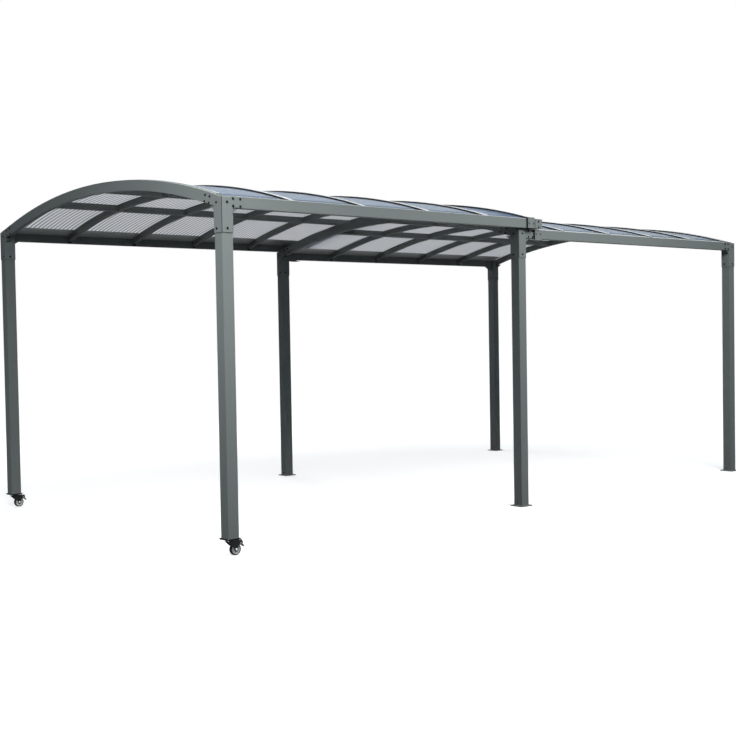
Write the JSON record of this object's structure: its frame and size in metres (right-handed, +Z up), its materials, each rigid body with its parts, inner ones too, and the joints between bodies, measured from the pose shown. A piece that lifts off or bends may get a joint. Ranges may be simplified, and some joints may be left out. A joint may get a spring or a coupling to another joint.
{
  "type": "sliding canopy gazebo",
  "caption": "Free-standing sliding garden canopy: an arched translucent roof on a caster-borne frame rolls over a second arched roof on a bolted-down frame.",
  "frame": {"origin": "On the ground, at the middle of the outline of the canopy drawn fully out.", "axes": "+X from the moving canopy to the fixed one, +Y to the rear, +Z up."},
  "size_m": [5.812, 3.112, 2.434],
  "materials": {
    "frame": "grey-green powder coat on aluminium, satin",
    "cap": "grey-green powder-coated glazing caps",
    "panel": "translucent twin-wall polycarbonate with fine flutes",
    "caster_black": "black painted pressed steel",
    "zinc": "zinc-plated steel",
    "tyre": "black rubber tread on a grey plastic disc",
    "roller": "black nylon"
  },
  "bodies": {
    "fixed_canopy": {"fixed_front_left_post": "frame", "fixed_rear_left_post": "frame", "fixed_front_right_post": "frame", "fixed_rear_right_post": "frame", "fixed_front_left_bracket": "frame", "fixed_rear_left_bracket": "frame", "fixed_front_right_bracket": "frame", "fixed_rear_right_bracket": "frame", "fixed_front_beam": "frame", "fixed_rear_beam": "frame", "fixed_left_arch": "frame", "fixed_right_arch": "frame", "fixed_rafters": "frame", "fixed_purlins": "frame", "fixed_roof_panels": "panel", "fixed_glazing_caps": "cap", "fixed_eave_strips": "frame", "fixed_front_guide": "frame", "fixed_rear_guide": "frame"},
    "moving_canopy": {"moving_front_post": "frame", "moving_rear_post": "frame", "moving_front_bracket": "frame", "moving_rear_bracket": "frame", "moving_front_end_bracket": "frame", "moving_rear_end_bracket": "frame", "moving_front_beam": "frame", "moving_rear_beam": "frame", "moving_left_arch": "frame", "moving_right_arch": "frame", "moving_rafters": "frame", "moving_purlins": "frame", "moving_roof_panels": "panel", "moving_glazing_caps": "cap", "moving_eave_strips": "frame", "moving_front_guide": "frame", "moving_rear_guide": "frame", "track_rollers": "roller", "front_caster_plate": "caster_black", "rear_caster_plate": "caster_black"},
    "front_caster": {"front_caster_fork": "caster_black"},
    "front_wheel": {"front_caster_wheel": "tyre"},
    "front_pedal": {"front_brake_pedal": "caster_black"},
    "rear_caster": {"rear_caster_fork": "caster_black"},
    "rear_wheel": {"rear_caster_wheel": "tyre"},
    "rear_pedal": {"rear_brake_pedal": "caster_black"}
  },
  "joints": [
    {"name": "canopy_slide", "type": "slide", "parent": "fixed_canopy", "child": "moving_canopy", "axis": [1, 0, 0], "range_m": [0, 2.55]},
    {"name": "front_caster_swivel", "type": "hinge", "parent": "moving_canopy", "child": "front_caster", "pos_m": [-2.856, -1.498, 0.096], "axis": [0, 0, 1], "continuous": true},
    {"name": "front_wheel_spin", "type": "hinge", "parent": "front_caster", "child": "front_wheel", "pos_m": [-2.821, -1.498, 0.0375], "axis": [0, 1, 0], "continuous": true},
    {"name": "front_brake", "type": "hinge", "parent": "front_caster", "child": "front_pedal", "pos_m": [-2.787, -1.498, 0.0725], "axis": [0, 1, 0], "range_deg": [-20, 0]},
    {"name": "rear_caster_swivel", "type": "hinge", "parent": "moving_canopy", "child": "rear_caster", "pos_m": [-2.856, 1.498, 0.096], "axis": [0, 0, 1], "continuous": true},
    {"name": "rear_wheel_spin", "type": "hinge", "parent": "rear_caster", "child": "rear_wheel", "pos_m": [-2.821, 1.498, 0.0375], "axis": [0, 1, 0], "continuous": true},
    {"name": "rear_brake", "type": "hinge", "parent": "rear_caster", "child": "rear_pedal", "pos_m": [-2.787, 1.498, 0.0725], "axis": [0, 1, 0], "range_deg": [-20, 0]}
  ]
}
